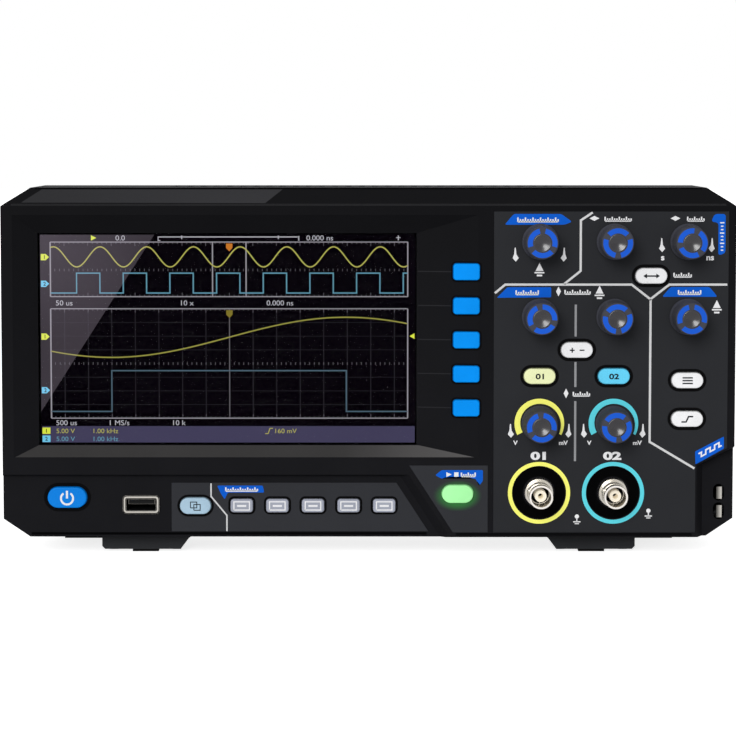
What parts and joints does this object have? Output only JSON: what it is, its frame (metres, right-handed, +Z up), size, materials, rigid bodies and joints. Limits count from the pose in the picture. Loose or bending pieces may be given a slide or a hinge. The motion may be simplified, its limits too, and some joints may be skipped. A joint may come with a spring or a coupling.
{
  "type": "bench digital oscilloscope",
  "caption": "Slim bench digital oscilloscope: wide colour display, softkeys, knob and key control panel, bayonet input sockets, rear connector bays and fold-out front legs.",
  "frame": {"origin": "on the bench under the middle of the instrument's bounding box, knobs included", "axes": "+X to the user's right, -Y out of the front panel towards the user, +Z up"},
  "size_m": [0.301, 0.07, 0.152],
  "materials": {
    "housing_plastic": "fine-textured dark grey ABS",
    "panel_film": "satin printed film",
    "window": "clear, glossy",
    "display": "dark display module",
    "steel": "zinc-plated",
    "ribbon": "flexible circuit",
    "silicone": "translucent silicone",
    "circuit_board": "green solder mask",
    "nickel": "nickel-plated",
    "insulator": "white fluoropolymer",
    "connector_plastic": "black connector plastic",
    "rubber": "black rubber",
    "knob_plastic": "satin dark grey, blue ring inserts",
    "key_blue_lit": "blue, lit from behind",
    "key_pale_lit": "pale blue-white, lit from behind",
    "key_green_lit": "green, lit from behind",
    "key_yellow_lit": "pale yellow, lit from behind",
    "key_cyan_lit": "cyan, lit from behind",
    "key_blue": "blue",
    "key_silver": "silver-white",
    "key_white": "white"
  },
  "bodies": {
    "root": {"front_housing": "housing_plastic", "rear_housing": "housing_plastic", "control_plate": "panel_film", "function_plate": "panel_film", "run_stop_plate": "panel_film", "display_window": "window", "display_module": "display", "display_bracket": "steel", "display_ribbon": "ribbon", "keypad_mats": "silicone", "key_board": "circuit_board", "rotary_encoders": "steel", "main_board": "circuit_board", "input_shield": "steel", "supply_board": "circuit_board", "input_sockets": "nickel", "socket_insulators": "insulator", "usb_host_port": "nickel", "mains_inlet": "connector_plastic", "usb_device_port": "nickel", "aux_output_socket": "nickel", "probe_terminals": "nickel", "screws": "steel", "hinge_pins": "steel", "foot_pads": "rubber", "rear_feet": "rubber"},
    "softkey_1": {"softkey_1": "key_blue"},
    "softkey_2": {"softkey_2": "key_blue"},
    "softkey_3": {"softkey_3": "key_blue"},
    "softkey_4": {"softkey_4": "key_blue"},
    "softkey_5": {"softkey_5": "key_blue"},
    "power_button": {"power_button": "key_blue_lit"},
    "copy_button": {"copy_button": "key_pale_lit"},
    "function_key_1": {"function_key_1": "key_silver"},
    "function_key_2": {"function_key_2": "key_silver"},
    "function_key_3": {"function_key_3": "key_silver"},
    "function_key_4": {"function_key_4": "key_silver"},
    "function_key_5": {"function_key_5": "key_silver"},
    "run_stop_button": {"run_stop_button": "key_green_lit"},
    "horizontal_menu_button": {"horizontal_menu_button": "key_white"},
    "math_button": {"math_button": "key_white"},
    "channel_1_button": {"channel_1_button": "key_yellow_lit"},
    "channel_2_button": {"channel_2_button": "key_cyan_lit"},
    "trigger_menu_button": {"trigger_menu_button": "key_white"},
    "trigger_force_button": {"trigger_force_button": "key_white"},
    "knob_multipurpose": {"knob_multipurpose": "knob_plastic"},
    "plunger_multipurpose": {"plunger_multipurpose": "insulator"},
    "knob_horizontal_position": {"knob_horizontal_position": "knob_plastic"},
    "knob_horizontal_scale": {"knob_horizontal_scale": "knob_plastic"},
    "knob_vertical_position_1": {"knob_vertical_position_1": "knob_plastic"},
    "plunger_vertical_position_1": {"plunger_vertical_position_1": "insulator"},
    "knob_vertical_position_2": {"knob_vertical_position_2": "knob_plastic"},
    "plunger_vertical_position_2": {"plunger_vertical_position_2": "insulator"},
    "knob_trigger_level": {"knob_trigger_level": "knob_plastic"},
    "plunger_trigger_level": {"plunger_trigger_level": "insulator"},
    "knob_vertical_scale_1": {"knob_vertical_scale_1": "knob_plastic"},
    "knob_vertical_scale_2": {"knob_vertical_scale_2": "knob_plastic"},
    "tilt_leg_left": {"tilt_leg_left": "housing_plastic"},
    "tilt_leg_right": {"tilt_leg_right": "housing_plastic"}
  },
  "joints": [
    {"name": "softkey_1_press", "type": "slide", "parent": "root", "child": "softkey_1", "axis": [0, 1, 0], "range_m": [0, 0.0012], "stiffness_N_per_m": 800},
    {"name": "softkey_2_press", "type": "slide", "parent": "root", "child": "softkey_2", "axis": [0, 1, 0], "range_m": [0, 0.0012], "stiffness_N_per_m": 800},
    {"name": "softkey_3_press", "type": "slide", "parent": "root", "child": "softkey_3", "axis": [0, 1, 0], "range_m": [0, 0.0012], "stiffness_N_per_m": 800},
    {"name": "softkey_4_press", "type": "slide", "parent": "root", "child": "softkey_4", "axis": [0, 1, 0], "range_m": [0, 0.0012], "stiffness_N_per_m": 800},
    {"name": "softkey_5_press", "type": "slide", "parent": "root", "child": "softkey_5", "axis": [0, 1, 0], "range_m": [0, 0.0012], "stiffness_N_per_m": 800},
    {"name": "power_button_press", "type": "slide", "parent": "root", "child": "power_button", "axis": [0, 1, 0], "range_m": [0, 0.0012], "stiffness_N_per_m": 800},
    {"name": "copy_button_press", "type": "slide", "parent": "root", "child": "copy_button", "axis": [0, 1, 0], "range_m": [0, 0.0012], "stiffness_N_per_m": 800},
    {"name": "function_key_1_press", "type": "slide", "parent": "root", "child": "function_key_1", "axis": [0, 1, 0], "range_m": [0, 0.0012], "stiffness_N_per_m": 800},
    {"name": "function_key_2_press", "type": "slide", "parent": "root", "child": "function_key_2", "axis": [0, 1, 0], "range_m": [0, 0.0012], "stiffness_N_per_m": 800},
    {"name": "function_key_3_press", "type": "slide", "parent": "root", "child": "function_key_3", "axis": [0, 1, 0], "range_m": [0, 0.0012], "stiffness_N_per_m": 800},
    {"name": "function_key_4_press", "type": "slide", "parent": "root", "child": "function_key_4", "axis": [0, 1, 0], "range_m": [0, 0.0012], "stiffness_N_per_m": 800},
    {"name": "function_key_5_press", "type": "slide", "parent": "root", "child": "function_key_5", "axis": [0, 1, 0], "range_m": [0, 0.0012], "stiffness_N_per_m": 800},
    {"name": "run_stop_button_press", "type": "slide", "parent": "root", "child": "run_stop_button", "axis": [0, 1, 0], "range_m": [0, 0.0012], "stiffness_N_per_m": 800},
    {"name": "horizontal_menu_button_press", "type": "slide", "parent": "root", "child": "horizontal_menu_button", "axis": [0, 1, 0], "range_m": [0, 0.0012], "stiffness_N_per_m": 800},
    {"name": "math_button_press", "type": "slide", "parent": "root", "child": "math_button", "axis": [0, 1, 0], "range_m": [0, 0.0012], "stiffness_N_per_m": 800},
    {"name": "channel_1_button_press", "type": "slide", "parent": "root", "child": "channel_1_button", "axis": [0, 1, 0], "range_m": [0, 0.0012], "stiffness_N_per_m": 800},
    {"name": "channel_2_button_press", "type": "slide", "parent": "root", "child": "channel_2_button", "axis": [0, 1, 0], "range_m": [0, 0.0012], "stiffness_N_per_m": 800},
    {"name": "trigger_menu_button_press", "type": "slide", "parent": "root", "child": "trigger_menu_button", "axis": [0, 1, 0], "range_m": [0, 0.0012], "stiffness_N_per_m": 800},
    {"name": "trigger_force_button_press", "type": "slide", "parent": "root", "child": "trigger_force_button", "axis": [0, 1, 0], "range_m": [0, 0.0012], "stiffness_N_per_m": 800},
    {"name": "plunger_multipurpose_push", "type": "slide", "parent": "root", "child": "plunger_multipurpose", "axis": [0, 1, 0], "range_m": [0, 0.0005], "stiffness_N_per_m": 1500},
    {"name": "knob_multipurpose_turn", "type": "hinge", "parent": "plunger_multipurpose", "child": "knob_multipurpose", "pos_m": [0.0701, -0.022, 0.1302], "axis": [0, 1, 0], "continuous": true},
    {"name": "knob_horizontal_position_turn", "type": "hinge", "parent": "root", "child": "knob_horizontal_position", "pos_m": [0.1005, -0.022, 0.1302], "axis": [0, 1, 0], "continuous": true},
    {"name": "knob_horizontal_scale_turn", "type": "hinge", "parent": "root", "child": "knob_horizontal_scale", "pos_m": [0.1305, -0.022, 0.1302], "axis": [0, 1, 0], "continuous": true},
    {"name": "plunger_vertical_position_1_push", "type": "slide", "parent": "root", "child": "plunger_vertical_position_1", "axis": [0, 1, 0], "range_m": [0, 0.0005], "stiffness_N_per_m": 1500},
    {"name": "knob_vertical_position_1_turn", "type": "hinge", "parent": "plunger_vertical_position_1", "child": "knob_vertical_position_1", "pos_m": [0.0701, -0.022, 0.0995], "axis": [0, 1, 0], "continuous": true},
    {"name": "plunger_vertical_position_2_push", "type": "slide", "parent": "root", "child": "plunger_vertical_position_2", "axis": [0, 1, 0], "range_m": [0, 0.0005], "stiffness_N_per_m": 1500},
    {"name": "knob_vertical_position_2_turn", "type": "hinge", "parent": "plunger_vertical_position_2", "child": "knob_vertical_position_2", "pos_m": [0.1005, -0.022, 0.0995], "axis": [0, 1, 0], "continuous": true},
    {"name": "plunger_trigger_level_push", "type": "slide", "parent": "root", "child": "plunger_trigger_level", "axis": [0, 1, 0], "range_m": [0, 0.0005], "stiffness_N_per_m": 1500},
    {"name": "knob_trigger_level_turn", "type": "hinge", "parent": "plunger_trigger_level", "child": "knob_trigger_level", "pos_m": [0.1305, -0.022, 0.0995], "axis": [0, 1, 0], "continuous": true},
    {"name": "knob_vertical_scale_1_turn", "type": "hinge", "parent": "root", "child": "knob_vertical_scale_1", "pos_m": [0.0701, -0.022, 0.0555], "axis": [0, 1, 0], "continuous": true},
    {"name": "knob_vertical_scale_2_turn", "type": "hinge", "parent": "root", "child": "knob_vertical_scale_2", "pos_m": [0.1005, -0.022, 0.0555], "axis": [0, 1, 0], "continuous": true},
    {"name": "tilt_leg_left_fold", "type": "hinge", "parent": "root", "child": "tilt_leg_left", "pos_m": [-0.0931, 0.0002, 0.0044], "axis": [-1, 0, 0], "range_deg": [0, 95]},
    {"name": "tilt_leg_right_fold", "type": "hinge", "parent": "root", "child": "tilt_leg_right", "pos_m": [0.0931, 0.0002, 0.0044], "axis": [-1, 0, 0], "range_deg": [0, 95]}
  ]
}
